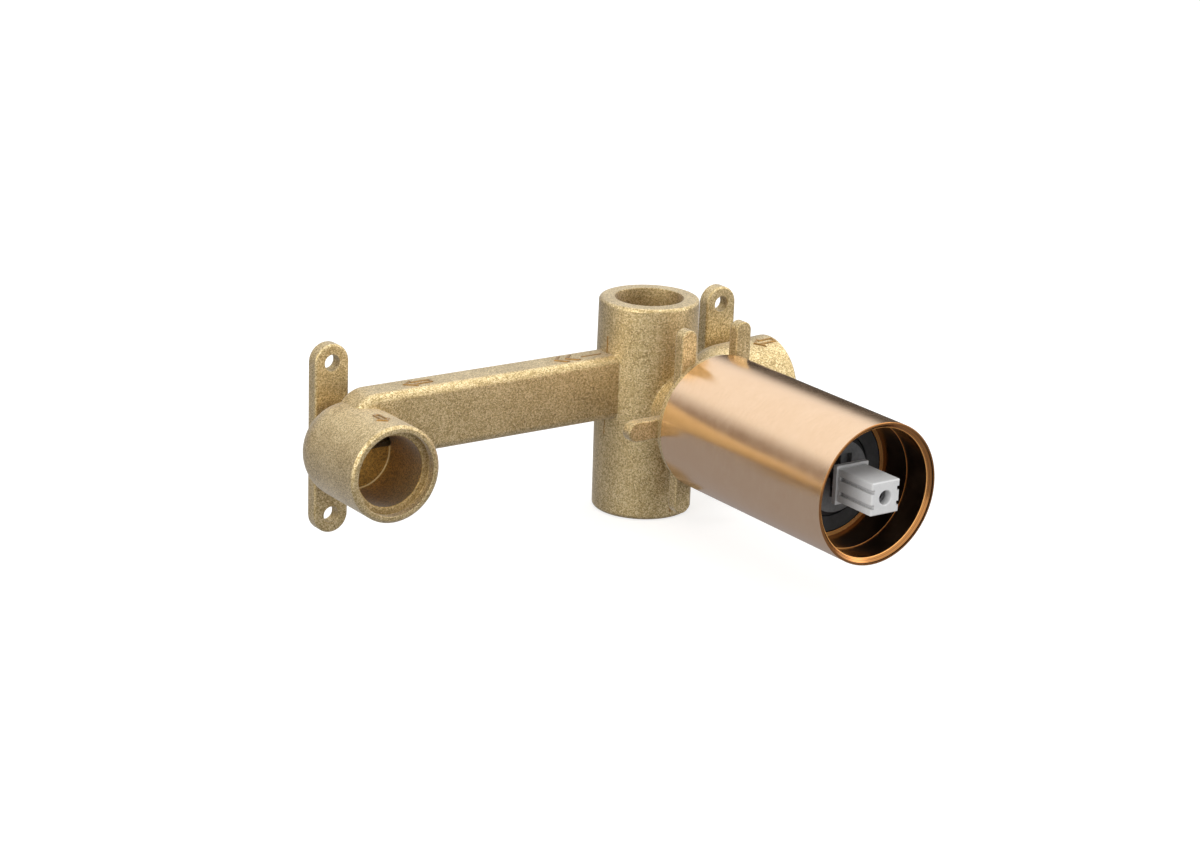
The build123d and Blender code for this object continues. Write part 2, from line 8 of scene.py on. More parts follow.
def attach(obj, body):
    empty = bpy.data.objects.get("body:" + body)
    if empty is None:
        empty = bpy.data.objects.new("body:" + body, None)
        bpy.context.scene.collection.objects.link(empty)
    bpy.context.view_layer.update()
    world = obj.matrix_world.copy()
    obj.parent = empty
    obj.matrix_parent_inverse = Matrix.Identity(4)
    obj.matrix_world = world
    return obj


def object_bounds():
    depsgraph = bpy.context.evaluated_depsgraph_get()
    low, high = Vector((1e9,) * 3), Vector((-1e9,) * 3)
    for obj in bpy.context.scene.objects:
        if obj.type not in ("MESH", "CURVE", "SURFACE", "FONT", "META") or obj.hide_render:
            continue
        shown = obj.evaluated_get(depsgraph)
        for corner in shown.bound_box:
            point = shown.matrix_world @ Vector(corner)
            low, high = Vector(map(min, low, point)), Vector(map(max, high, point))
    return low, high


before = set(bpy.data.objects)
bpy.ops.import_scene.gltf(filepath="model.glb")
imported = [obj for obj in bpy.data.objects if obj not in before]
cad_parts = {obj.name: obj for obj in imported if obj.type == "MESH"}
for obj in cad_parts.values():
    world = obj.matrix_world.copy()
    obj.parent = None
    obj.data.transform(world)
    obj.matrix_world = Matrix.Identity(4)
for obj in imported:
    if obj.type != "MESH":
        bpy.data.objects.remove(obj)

bl_info = {
    "name": "Concealed Valve Body",
    "version": (1, 0, 0),
    "blender": (4, 5, 0),
    "location": "View3D > Sidebar > Valve",
    "description": "Dresses a concealed valve body with cast brass, copper and moulded plastic",
    "category": "Object",
}

CAD_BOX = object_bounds()
LOWEST_Z = CAD_BOX[0][2]
MM = 0.001

# Places on the casting and the sleeve, in metres, in the part's frame. The flare is the growth of
# the neck's radius over its length.
WATERWAY_Y = -14.7 * MM
WATERWAY_RADIUS = 9.45 * MM
TUBE_X = -6.25 * MM
TUBE_RADIUS = 13.58 * MM
ARM_TOP = 15.7 * MM
SPOUT_X = -97.2 * MM
SPOUT_RADIUS = 12.7 * MM
SPOUT_FLOOR = -16.9 * MM
# Inner radius and depth of the painted highlight round the spout's floor
SPOUT_HIGHLIGHT_RADIUS = 9.0 * MM
SPOUT_HIGHLIGHT_DEPTH = 0.35 * MM
PORT_NECK_X = 20.4 * MM
PORT_NECK_RADIUS = 12.2 * MM
PORT_FLARE = 0.05
SLEEVE_MOUTH_RADIUS = 17.1 * MM
SLEEVE_LIP_RADIUS = 18.2 * MM

# Length and width of each cast mark (and the line of a chevron), and the middle of its place
ARM_ARROW_SIZE = (8.5 * MM, 5 * MM)
ARM_ARROW_MIDDLE = (-79 * MM, -15.1 * MM)
CHEVRON_SIZE = (3.6 * MM, 4.8 * MM, 1.1 * MM)
CHEVRON_LEFT_MIDDLE = (-35 * MM, -15 * MM)
CHEVRON_RIGHT_MIDDLE = (-31.5 * MM, -15 * MM)
SPOUT_ARROW_SIZE = (6 * MM, 4 * MM)
SPOUT_ARROW_Y = -28.5 * MM
PORT_ARROW_SIZE = (7 * MM, 4.6 * MM)
PORT_ARROW_X = 31.5 * MM
PORT_ARROW_ANGLE = math.radians(78)
MOULD_LINE_Y = -15.2 * MM

# The camera and the stage round the valve, in metres. The card falls into shade between two values
# of X + Y and the screen between two values of X. The screen turns white between two shares of its
# height.
CAMERA_PLACE = (-0.45174, -0.62490, 0.23337)
CAMERA_AZIMUTH = math.radians(-35.225)
CAMERA_ELEVATION = math.radians(17.654)
CAMERA_ROLL = math.radians(2.15)
SENSOR_WIDTH_MM = 36
NEAREST_VIEW = 0.01
FLOOR_HALF_SIDE = 6.0
FLOOR_GAP = 0.0002
CARD_HALF_SIDE = 0.8
CARD_GAP = 0.0001
CARD_SHADE = (0.04, 0.16)
SCREEN_START = (0.72, 0.42)
SCREEN_ANGLE = math.radians(115)
SCREEN_STEPS = 24
SCREEN_SHADE = (-0.2, 0.4)
SCREEN_RISE = (0.48, 0.93)
LAMP_AIM = (-0.03, -0.03, 0)
KEY_PLACE, KEY_SIZE = (0.35, 0.0, 0.90), 1.05
FILL_PLACE, FILL_SIZE = (-1.0, -0.35, 0.45), 0.8
SIDE_PLACE, SIDE_SIZE = (0.85, -0.6, 0.30), 0.6


# Sizes and colours ------------------------------------------------------------------------------

class ValveCastingSettings(bpy.types.PropertyGroup):
    brass_dark: bpy.props.FloatVectorProperty(
        name="Brass dark", description="Colour between the grains of the casting skin",
        subtype="COLOR", size=3, min=0, max=1, default=(0.28, 0.19, 0.072))
    brass_middle: bpy.props.FloatVectorProperty(
        name="Brass", description="Main colour of the casting skin",
        subtype="COLOR", size=3, min=0, max=1, default=(0.60, 0.455, 0.217))
    brass_light: bpy.props.FloatVectorProperty(
        name="Brass light", description="Colour of the grains that catch the light",
        subtype="COLOR", size=3, min=0, max=1, default=(0.95, 0.79, 0.49))
    # Machined socket walls: darker than the skin, a colour that paints the shade inside the
    # sockets.
    bore: bpy.props.FloatVectorProperty(
        name="Bore", description="Colour of the machined walls of the sockets",
        subtype="COLOR", size=3, min=0, max=1, default=(0.50, 0.33, 0.11))
    grain: bpy.props.FloatProperty(
        name="Grain", description="Size of one grain of the sand cast skin",
        subtype="DISTANCE", unit="LENGTH", min=0.0001, max=0.002, default=0.0003)
    grain_depth: bpy.props.FloatProperty(
        name="Grain depth", description="How deep the grain of the skin looks",
        subtype="DISTANCE", unit="LENGTH", min=0, max=0.001, default=0.00007)
    dust: bpy.props.FloatProperty(
        name="Dust", description="Pale bloom of the skin where it is seen at a flat angle",
        min=0, max=1, default=0.36)
    soft_edge: bpy.props.FloatProperty(
        name="Soft edge", description="Radius to which the mould rounds every corner",
        subtype="DISTANCE", unit="LENGTH", min=0, max=0.003, default=0.0004)


class ValveMarkSettings(bpy.types.PropertyGroup):
    # Painted shade: the marks are coloured darker than the skin, to stand for the shade on their
    # steep sides.
    painted_shade_tint: bpy.props.FloatVectorProperty(
        name="Mark brass", description="Colour of the marks cast on the skin",
        subtype="COLOR", size=3, min=0, max=1, default=(0.36, 0.20, 0.05))
    height: bpy.props.FloatProperty(
        name="Mark height", description="How far the cast marks stand out",
        subtype="DISTANCE", unit="LENGTH", min=0.0001, max=0.001, default=0.0003)
    line: bpy.props.FloatProperty(
        name="Line width", description="Width of the raised lines",
        subtype="DISTANCE", unit="LENGTH", min=0.0002, max=0.001, default=0.00055)
    fin_width: bpy.props.FloatProperty(
        name="Fin width", description="Width of the fins where the halves of the mould met",
        subtype="DISTANCE", unit="LENGTH", min=0.0001, max=0.001, default=0.0004)


class ValveSleeveSettings(bpy.types.PropertyGroup):
    copper: bpy.props.FloatVectorProperty(
        name="Copper", description="Colour of the plated sleeve",
        subtype="COLOR", size=3, min=0, max=1, default=(0.96, 0.70, 0.48))
    copper_worn: bpy.props.FloatVectorProperty(
        name="Copper streak", description="Colour of the finest brush streaks",
        subtype="COLOR", size=3, min=0, max=1, default=(0.92, 0.65, 0.43))
    # Painted shade: the wall inside the mouth is coloured almost black to stand for the shade in
    # the sleeve.
    inner_wall_shade: bpy.props.FloatVectorProperty(
        name="Inner wall", description="Colour of the dark wall inside the mouth",
        subtype="COLOR", size=3, min=0, max=1, default=(0.10, 0.057, 0.033))
    rim: bpy.props.FloatVectorProperty(
        name="Rim", description="Colour of the turned rim",
        subtype="COLOR", size=3, min=0, max=1, default=(0.50, 0.225, 0.075))
    ring: bpy.props.FloatVectorProperty(
        name="Ring", description="Colour of the turned ring faces inside the mouth",
        subtype="COLOR", size=3, min=0, max=1, default=(1.0, 0.54, 0.19))
    brushing: bpy.props.FloatProperty(
        name="Brushing", description="Distance between two brush streaks",
        subtype="DISTANCE", unit="LENGTH", min=0.00005, max=0.002, default=0.0003)


class ValveCartridgeSettings(bpy.types.PropertyGroup):
    stem: bpy.props.FloatVectorProperty(
        name="Stem", description="Colour of the moulded stem",
        subtype="COLOR", size=3, min=0, max=1, default=(0.77, 0.77, 0.765))
    guide: bpy.props.FloatVectorProperty(
        name="Guide", description="Colour of the turning guide",
        subtype="COLOR", size=3, min=0, max=1, default=(0.24, 0.245, 0.25))
    nut: bpy.props.FloatVectorProperty(
        name="Nut", description="Colour of the retaining nut",
        subtype="COLOR", size=3, min=0, max=1, default=(0.075, 0.077, 0.08))
    slip_ring: bpy.props.FloatVectorProperty(
        name="Slip ring", description="Colour of the slip ring under the nut",
        subtype="COLOR", size=3, min=0, max=1, default=(0.6, 0.6, 0.58))
    shell: bpy.props.FloatVectorProperty(
        name="Shell", description="Colour of the cartridge shell",
        subtype="COLOR", size=3, min=0, max=1, default=(0.035, 0.035, 0.037))
    rubber: bpy.props.FloatVectorProperty(
        name="Rubber", description="Colour of the seals",
        subtype="COLOR", size=3, min=0, max=1, default=(0.02, 0.02, 0.02))
    ceramic: bpy.props.FloatVectorProperty(
        name="Ceramic", description="Colour of the two discs",
        subtype="COLOR", size=3, min=0, max=1, default=(0.80, 0.79, 0.75))
    steel: bpy.props.FloatVectorProperty(
        name="Steel", description="Colour of the lever pin",
        subtype="COLOR", size=3, min=0, max=1, default=(0.55, 0.55, 0.56))
    zinc: bpy.props.FloatVectorProperty(
        name="Zinc", description="Colour of the die cast lever",
        subtype="COLOR", size=3, min=0, max=1, default=(0.30, 0.30, 0.31))


class ValveStageSettings(bpy.types.PropertyGroup):
    floor: bpy.props.FloatVectorProperty(
        name="Floor", description="Colour of the floor",
        subtype="COLOR", size=3, min=0, max=1, default=(0.5, 0.5, 0.5))
    floor_glow: bpy.props.FloatProperty(
        name="Floor glow", description="How much of the floor's white comes from the floor itself",
        min=0, max=1, default=0.70)
    # Card and screen glow and are no lamps: they paint reflections, with painted shade on the
    # right.
    card: bpy.props.FloatVectorProperty(
        name="Card", description="Colour of the grey card that metal reflects from below",
        subtype="COLOR", size=3, min=0, max=1, default=(0.325, 0.32, 0.335))
    screen: bpy.props.FloatVectorProperty(
        name="Screen", description="Colour of the low screen that metal reflects from behind",
        subtype="COLOR", size=3, min=0, max=1, default=(0.26, 0.21, 0.175))
    shade: bpy.props.FloatProperty(
        name="Shade",
        description="Brightness of screen and card behind the valve on the right, as a share",
        min=0, max=1, default=0.2)
    screen_height: bpy.props.FloatProperty(
        name="Screen height",
        description="Height of the screen above the floor, where it is as pale as the room",
        subtype="DISTANCE", unit="LENGTH", min=0.1, max=1, default=0.56)
    key_power: bpy.props.FloatProperty(
        name="Key lamp", description="Power of the large lamp above the valve",
        unit="POWER", min=0, max=100, default=4.0)
    fill_power: bpy.props.FloatProperty(
        name="Fill lamp", description="Power of the lamp on the left",
        unit="POWER", min=0, max=100, default=5.5)
    side_power: bpy.props.FloatProperty(
        name="Side lamp", description="Power of the lamp in front on the right",
        unit="POWER", min=0, max=100, default=2.2)
    room_light: bpy.props.FloatProperty(
        name="Room light", description="Brightness of the room for matte surfaces",
        min=0, max=2, default=0.62)
    focal_length: bpy.props.FloatProperty(
        name="Focal length", description="Lens of the camera for a sensor 36 mm wide",
        min=20, max=300, default=87.4)


# Materials --------------------------------------------------------------------------------------

# Nearly all values of a noise lie in this range
NOISE_RANGE = (0.3, 0.7)


def toned(colour, share):
    """The colour made darker or lighter by a share."""
    return [part * share for part in colour]


class Nodes:
    """A node tree in the making."""

    def __init__(self, tree):
        self.tree = tree

    def add(self, kind, inputs=None, **settings):
        """A new node, with its inputs fed and its settings made."""
        node = self.tree.nodes.new(kind)
        for key, value in settings.items():
            setattr(node, key, value)
        for key, value in (inputs or {}).items():
            self.feed(node.inputs[key], value)
        return node

    def feed(self, socket, value):
        """Link another socket to this one, or give it a value."""
        if isinstance(value, bpy.types.NodeSocket):
            self.tree.links.new(value, socket)
        else:
            socket.default_value = value

    def math(self, operation, *values):
        """The result of one operation on the values."""
        node = self.add("ShaderNodeMath", operation=operation)
        for socket, value in zip(node.inputs, values):
            self.feed(socket, value)
        return node.outputs[0]

    def square_sum(self, first, second):
        """first x first + second x second."""
        return self.math("ADD", self.math("MULTIPLY", first, first),
                         self.math("MULTIPLY", second, second))

    def between(self, value, low, high, new_low=0.0, new_high=1.0):
        """The value moved from one range to another and kept in it."""
        return self.add("ShaderNodeMapRange", {
            "Value": value, "From Min": low, "From Max": high,
            "To Min": new_low, "To Max": new_high}).outputs["Result"]

    def seen_white(self):
        """1 for the rays that show the stage as white: straight on, reflected or through glass."""
        path = self.add("ShaderNodeLightPath").outputs
        return self.math(
            "MAXIMUM", path["Is Camera Ray"],
            self.math("MAXIMUM", path["Is Glossy Ray"], path["Is Transmission Ray"]))


class Finish(Nodes):
    """A material in the making: its tree, its shader and the place where patterns are read."""

    def __init__(self, name):
        self.material = bpy.data.materials.new(name)
        self.material.use_nodes = True
        super().__init__(self.material.node_tree)
        self.shader = self.tree.nodes["Principled BSDF"]
        self.place = self.add("ShaderNodeTexCoord").outputs["Object"]

    def set(self, **values):
        """Set the shader's sockets: base_color stands for Base Color, and so on."""
        for key, value in values.items():
            socket = key.replace("_", " ").title().replace("Ior", "IOR")
            self.feed(self.shader.inputs[socket], value)

    def axes(self, vector=None):
        """The X, Y and Z of a vector, or else of the place."""
        return self.add("ShaderNodeSeparateXYZ", {"Vector": vector or self.place}).outputs

    def noise(self, size, detail=2.0, roughness=0.5, place=None):
        """Noise whose lumps are about size metres wide."""
        return self.add("ShaderNodeTexNoise", {
            "Vector": place or self.place, "Scale": 1 / size, "Detail": detail,
            "Roughness": roughness}).outputs["Fac"]

    def clouds(self, size, place=None):
        """Noise with finer lumps in it, for slow changes of tone and for streaks."""
        return self.noise(size, detail=3.0, roughness=0.6, place=place)

    def open_air(self, reach, samples):
        """1 on open surfaces, and less in corners narrower than the reach."""
        return self.add("ShaderNodeAmbientOcclusion", {"Distance": reach},
                        samples=samples).outputs["AO"]

    def mix(self, share, first, second):
        """A colour between two others, each a socket or three numbers."""
        node = self.add("ShaderNodeMix", data_type="RGBA")
        self.feed(node.inputs[0], share)
        for socket, colour in ((node.inputs[6], first), (node.inputs[7], second)):
            self.feed(socket, colour if isinstance(colour, bpy.types.NodeSocket) else (*colour, 1))
        return node.outputs[2]

    def mix_value(self, share, first, second):
        """A number between two others."""
        return self.add("ShaderNodeMix", {0: share, 2: first, 3: second},
                        data_type="FLOAT").outputs[0]

    def ramp(self, share, *stops):
        """Colours at places from 0 to 1."""
        node = self.add("ShaderNodeValToRGB", {"Fac": share})
        band = node.color_ramp
        while len(band.elements) < len(stops):
            band.elements.new(0.5)
        for element, (place, colour) in zip(band.elements, stops):
            element.position = place
            element.color = (*colour, 1)
        return node.outputs["Color"]

    def bump(self, height, depth, under=None):
        """The normal with a relief of the given depth in metres, on top of another normal."""
        inputs = {"Height": height, "Distance": depth, "Strength": 1.0}
        if under:
            inputs["Normal"] = under
        return self.add("ShaderNodeBump", inputs).outputs["Normal"]


def cast_brass(settings, name="cast_brass", painted_shade_tint=None):
    """Sand cast brass: fine grain, pale at flat angles, painted shade in corners and on the
    smoother walls of the sockets, and a painted highlight round the spout's floor.
    """
    finish = Finish(name)
    dark, middle, light = settings.brass_dark, settings.brass_middle, settings.brass_light
    # A darker colour given for the marks paints the shade of their sides.
    if painted_shade_tint:
        dark, middle, light = toned(painted_shade_tint, 0.7), painted_shade_tint, toned(painted_shade_tint, 1.5)

    grain = finish.noise(settings.grain, detail=2.0, roughness=0.7)
    cells = finish.add("ShaderNodeTexVoronoi", {
        "Vector": finish.place, "Scale": 1.0 / settings.grain, "Randomness": 1.0})
    cell_tone = finish.add(
        "ShaderNodeSeparateColor", {"Color": cells.outputs["Color"]}).outputs[0]
    patches = finish.clouds(9 * MM)
    speckle = finish.math("ADD", finish.math("MULTIPLY", grain, 0.65),
                          finish.math("MULTIPLY", cell_tone, 0.35))
    tone = finish.math("ADD", speckle, finish.between(patches, *NOISE_RANGE, -0.05, 0.05))
    skin = finish.ramp(tone, (0.25, dark), (0.5, middle), (0.76, light))

    rounded = finish.add(
        "ShaderNodeBevel", {"Radius": settings.soft_edge}, samples=4).outputs["Normal"]
    straight = finish.add("ShaderNodeNewGeometry").outputs["Normal"]
    turn = finish.add("ShaderNodeVectorMath", {0: rounded, 1: straight}, operation="DOT_PRODUCT")
    open_air = finish.open_air(4 * MM, samples=4)
    edge = finish.math("MULTIPLY", finish.between(turn.outputs["Value"], 0.99, 0.86),
                       finish.between(open_air, 0.55, 0.85))
    skin = finish.mix(finish.math("MULTIPLY", edge, 0.1), skin, settings.brass_light)
    # Painted shade: corners and hollows that the open_air test finds are darkened towards
    # brass_dark.
    corner = finish.between(open_air, 0.75, 0.2, 0.0, 0.55)
    skin = finish.mix(corner, skin, settings.brass_dark)

    bore, floor_edge_highlight = socket_walls(finish)
    height = finish.math(
        "ADD", grain, finish.math("MULTIPLY", cells.outputs["Distance"], -0.4))
    calm = finish.between(bore, 0.0, 1.0, 1.0, 0.6)
    # The machined walls are smoother, and their darker colour paints the shade inside the sockets.
    wall = finish.mix(finish.between(tone, *NOISE_RANGE),
                      toned(settings.bore, 0.6), toned(settings.bore, 1.4))
    finish.set(
        base_color=finish.mix(floor_edge_highlight, finish.mix(bore, skin, wall), settings.brass_light),
        metallic=0.92, roughness=finish.between(cell_tone, 0.0, 1.0, 0.56, 0.42),
        sheen_weight=settings.dust, sheen_roughness=0.5,
        normal=finish.bump(finish.math("MULTIPLY", height, calm), settings.grain_depth, rounded))
    return finish.material


def socket_walls(finish):
    """1 on the machined walls of the sockets, less in the tube, and 1 on the edge of the spout's
    floor. The first mask also paints shade on the walls in a darker colour, the second a
    highlight round the spout's floor."""
    parts = finish.axes()
    tube_share = 0.15

    def within(first, first_centre, second, second_centre, radius=WATERWAY_RADIUS):
        """1 inside a round bore, 0 outside it."""
        across = finish.math("SUBTRACT", parts[first], first_centre)
        along = finish.math("SUBTRACT", parts[second], second_centre)
        return finish.math("LESS_THAN", finish.square_sum(across, along), radius ** 2)

    tube = within("X", TUBE_X, "Y", WATERWAY_Y)
    spout = finish.math("MULTIPLY", within("X", SPOUT_X, "Z", 0.0),
                        finish.math("LESS_THAN", parts["Y"], SPOUT_FLOOR))
    port = finish.math("MULTIPLY", within("Y", WATERWAY_Y, "Z", 0.0),
                       finish.math("GREATER_THAN", parts["X"], PORT_NECK_X))
    bore = finish.math("MAXIMUM", finish.math("MULTIPLY", tube, tube_share),
                       finish.math("MAXIMUM", spout, port))
    # Painted highlight: a thin ring on the edge of the spout's floor, coloured brass_light.
    rim = finish.math("SUBTRACT", spout, within("X", SPOUT_X, "Z", 0.0, SPOUT_HIGHLIGHT_RADIUS))
    low = finish.math("GREATER_THAN", parts["Y"], SPOUT_FLOOR - SPOUT_HIGHLIGHT_DEPTH)
    return bore, finish.math("MULTIPLY", finish.math("MAXIMUM", rim, 0.0), low)


def brushed_copper(settings):
    """Satin copper plating with fine round streaks, painted shade on the inner wall and turned flat
    faces.
    """
    finish = Finish("brushed_copper")
    parts = finish.axes()
    wrap_radius = 2.5 * MM
    flat_limit = 0.35
    angle = finish.math("ARCTAN2", parts["Z"], parts["X"])
    round_place = finish.add("ShaderNodeCombineXYZ", {
        "X": finish.math("MULTIPLY", finish.math("SINE", angle), wrap_radius),
        "Y": parts["Y"],
        "Z": finish.math("MULTIPLY", finish.math("COSINE", angle), wrap_radius)}).outputs["Vector"]
    streaks = finish.clouds(settings.brushing, round_place)
    clouds = finish.clouds(6 * MM)
    pores = finish.noise(0.35 * MM)

    radius = finish.math("SQRT", finish.square_sum(parts["X"], parts["Z"]))
    normal = finish.add("ShaderNodeNewGeometry").outputs["Normal"]
    along_axis = finish.math("ABSOLUTE", finish.axes(normal)["Y"])
    flat_face = finish.math("GREATER_THAN", along_axis, flat_limit)
    inside = finish.math("LESS_THAN", radius, SLEEVE_LIP_RADIUS)
    deep = finish.math("LESS_THAN", radius, SLEEVE_MOUTH_RADIUS)

    worn = finish.math("ADD", streaks, finish.math("MULTIPLY", clouds, 0.5))
    plating = finish.mix(
        finish.between(worn, 0.55, 0.95), settings.copper_worn, settings.copper)
    # Painted shade inside the mouth: the inner wall takes a near black colour.
    inner_wall_shade = finish.mix(finish.between(clouds, *NOISE_RANGE),
                            settings.inner_wall_shade, toned(settings.inner_wall_shade, 1.6))
    outwards = finish.add("ShaderNodeCombineXYZ", {"X": radius}).outputs["Vector"]
    turned_lines = finish.noise(0.22 * MM, roughness=0.7, place=outwards)
    rim = finish.mix(finish.between(turned_lines, 0.4, 0.6),
                     toned(settings.rim, 0.6), toned(settings.rim, 1.35))
    satin = finish.between(finish.math("ADD", streaks, clouds), 0.7, 1.3, 0.19, 0.25)
    finish.set(
        base_color=finish.mix(flat_face, finish.mix(inside, plating, inner_wall_shade),
                              finish.mix(deep, rim, settings.ring)),
        metallic=1.0,
        roughness=finish.mix_value(finish.math("MULTIPLY", flat_face, deep), satin, 0.6),
        normal=finish.bump(streaks, 0.001 * MM, finish.bump(pores, 0.0015 * MM)))
    return finish.material


def moulded_plastic(name, colour, shine, texture=0.35 * MM, contrast=1.0):
    """Moulded plastic: soft mottled tone, fine spark eroded texture and painted shade in grooves
    and corners.
    """
    finish = Finish(name)
    mottle = finish.clouds(4 * MM)
    skin = finish.noise(texture, roughness=0.6)
    lighter = [min(1.0, part) for part in toned(colour, 1 + 0.1 * contrast)]
    darker = toned(colour, 1 - 0.14 * contrast)
    tone = finish.math("ADD", finish.math("MULTIPLY", mottle, 0.6),
                       finish.math("MULTIPLY", skin, 0.4))
    # Painted shade: grooves and corners that the open_air test finds are darkened to a quarter of
    # the colour.
    painted_groove_shade = finish.between(finish.open_air(1.2 * MM, samples=6), 0.75, 0.3, 0.0, 0.75)
    skin_colour = finish.mix(finish.between(tone, 0.35, 0.65), darker, lighter)
    finish.set(
        base_color=finish.mix(painted_groove_shade, skin_colour, toned(colour, 0.25)),
        roughness=finish.between(skin, *NOISE_RANGE, shine - 0.06, shine + 0.08),
        normal=finish.bump(skin, 0.01 * MM * contrast,
                           finish.bump(mottle, 0.03 * MM * contrast)))
    return finish.material


def seal_rubber(colour):
    """Black rubber with a faint bloom and a matte skin."""
    finish = Finish("seal_rubber")
    bloom = finish.between(finish.clouds(1.6 * MM), 0.35, 0.7)
    skin = finish.noise(0.25 * MM)
    finish.set(
        base_color=finish.mix(bloom, colour, toned(colour, 2.2)),
        roughness=finish.between(skin, *NOISE_RANGE, 0.5, 0.66),
        normal=finish.bump(skin, 0.01 * MM))
    return finish.material


def disc_ceramic(colour):
    """Lapped ceramic: pale, dense and almost mirror flat."""
    finish = Finish("disc_ceramic")
    clouds = finish.between(finish.clouds(3 * MM), *NOISE_RANGE)
    specks = finish.noise(0.2 * MM)
    finish.set(
        base_color=finish.mix(clouds, toned(colour, 0.92), colour),
        roughness=finish.between(specks, *NOISE_RANGE, 0.14, 0.22), coat_weight=0.2,
        normal=finish.bump(specks, 0.002 * MM))
    return finish.material


def milled_metal(name, colour, pitch):
    """Milled metal: fine tool lines along the cartridge axis and small changes of tone."""
    finish = Finish(name)
    stretched = finish.add("ShaderNodeMapping", {"Vector": finish.place, "Scale": (1, 0.08, 1)})
    lines = finish.clouds(pitch, stretched.outputs["Vector"])
    clouds = finish.between(finish.clouds(4 * MM), *NOISE_RANGE)
    finish.set(
        base_color=finish.mix(clouds, toned(colour, 0.85), colour),
        metallic=1.0, roughness=finish.between(lines, *NOISE_RANGE, 0.24, 0.38),
        normal=finish.bump(lines, 0.008 * MM))
    return finish.material


def dress(material, *nodes):
    """Give carried-over CAD nodes their material."""
    for name in nodes:
        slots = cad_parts[name].data.materials
        slots.clear()
        slots.append(material)


# Pieces -----------------------------------------------------------------------------------------

def seat_piece(shape, name, material, body="base"):
    """Turn a finished shape into an object that rides on a body of the part."""
    bmesh.ops.recalc_face_normals(shape, faces=shape.faces)
    piece = bpy.data.objects.new(name, finished_mesh(shape, name))
    piece.data.materials.append(material)
    bpy.context.scene.collection.objects.link(piece)
    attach(piece, body)


def finished_mesh(shape, name):
    """The mesh of a shape, which is freed."""
    mesh = bpy.data.meshes.new(name)
    shape.to_mesh(mesh)
    shape.free()
    return mesh


def flat_outline(corners):
    """A bmesh with one flat face through the corners, in metres."""
    shape = bmesh.new()
    shape.faces.new([shape.verts.new((across, along, 0)) for across, along in corners])
    return shape


def arrow_outline(length, width):
    """A flat arrow that points along +X."""
    head = length * 0.1
    shaft = width * 0.24
    return flat_outline([
        (-length / 2, -shaft), (head, -shaft), (head, -width / 2), (length / 2, 0),
        (head, width / 2), (head, shaft), (-length / 2, shaft)])


def chevron_outline(length, width, line):
    """A flat chevron that points along +X."""
    return flat_outline([
        (-length / 2, -width / 2), (-length / 2 + line, -width / 2), (length / 2, 0),
        (-length / 2 + line, width / 2), (-length / 2, width / 2), (length / 2 - line, 0)])


def round_over(shape, edges, offset):
    """Soften edges with two small steps."""
    bmesh.ops.bevel(shape, geom=edges, offset=offset, offset_type="OFFSET", segments=2,
                    profile=0.5, affect="EDGES", clamp_overlap=True, material=-1)


def raise_outline(shape, height, line=0, sunk=0.1 * MM):
    """Give a flat outline its height, with a little of it below the skin. With a line width, only a
    narrow band round the outline stands up. The top edges are softened."""
    crease = 0.5
    shape.normal_update()
    pulled = bmesh.ops.extrude_face_region(shape, geom=shape.faces[:])["geom"]
    top = [item for item in pulled if isinstance(item, bmesh.types.BMVert)]
    bmesh.ops.translate(shape, verts=top, vec=(0, 0, height + sunk))
    bmesh.ops.recalc_face_normals(shape, faces=shape.faces)
    if line:
        roof = [face for face in shape.faces if all(vert in top for vert in face.verts)]
        bmesh.ops.inset_region(shape, faces=roof, thickness=line, use_even_offset=True)
        bmesh.ops.inset_region(shape, faces=roof, thickness=line * 0.1,
                               depth=-height - sunk / 2, use_even_offset=True)
    bmesh.ops.translate(shape, verts=shape.verts, vec=(0, 0, -sunk))
    rim = [edge for edge in shape.edges
           if all(vert.co.z > height * 0.9 for vert in edge.verts)
           and edge.calc_face_angle(0.0) > crease]
    round_over(shape, rim, height * 0.35)
    long_edges = [edge for edge in shape.edges if edge.calc_length() > line > 0]
    bmesh.ops.subdivide_edges(shape, edges=long_edges, cuts=2)


def wrap(shape, place):
    """Lay a raised outline on a surface: place turns along, across and height into a point."""
    for vert in shape.verts:
        vert.co = place(*vert.co)


def mould_fin(size, middle):
    """A narrow ridge of the given size round its middle, with soft edges."""
    shape = bmesh.new()
    bmesh.ops.create_cube(shape, size=1.0)
    bmesh.ops.scale(shape, verts=shape.verts, vec=size)
    round_over(shape, shape.edges[:], min(size) * 0.3)
    bmesh.ops.translate(shape, verts=shape.verts, vec=middle)
    return shape


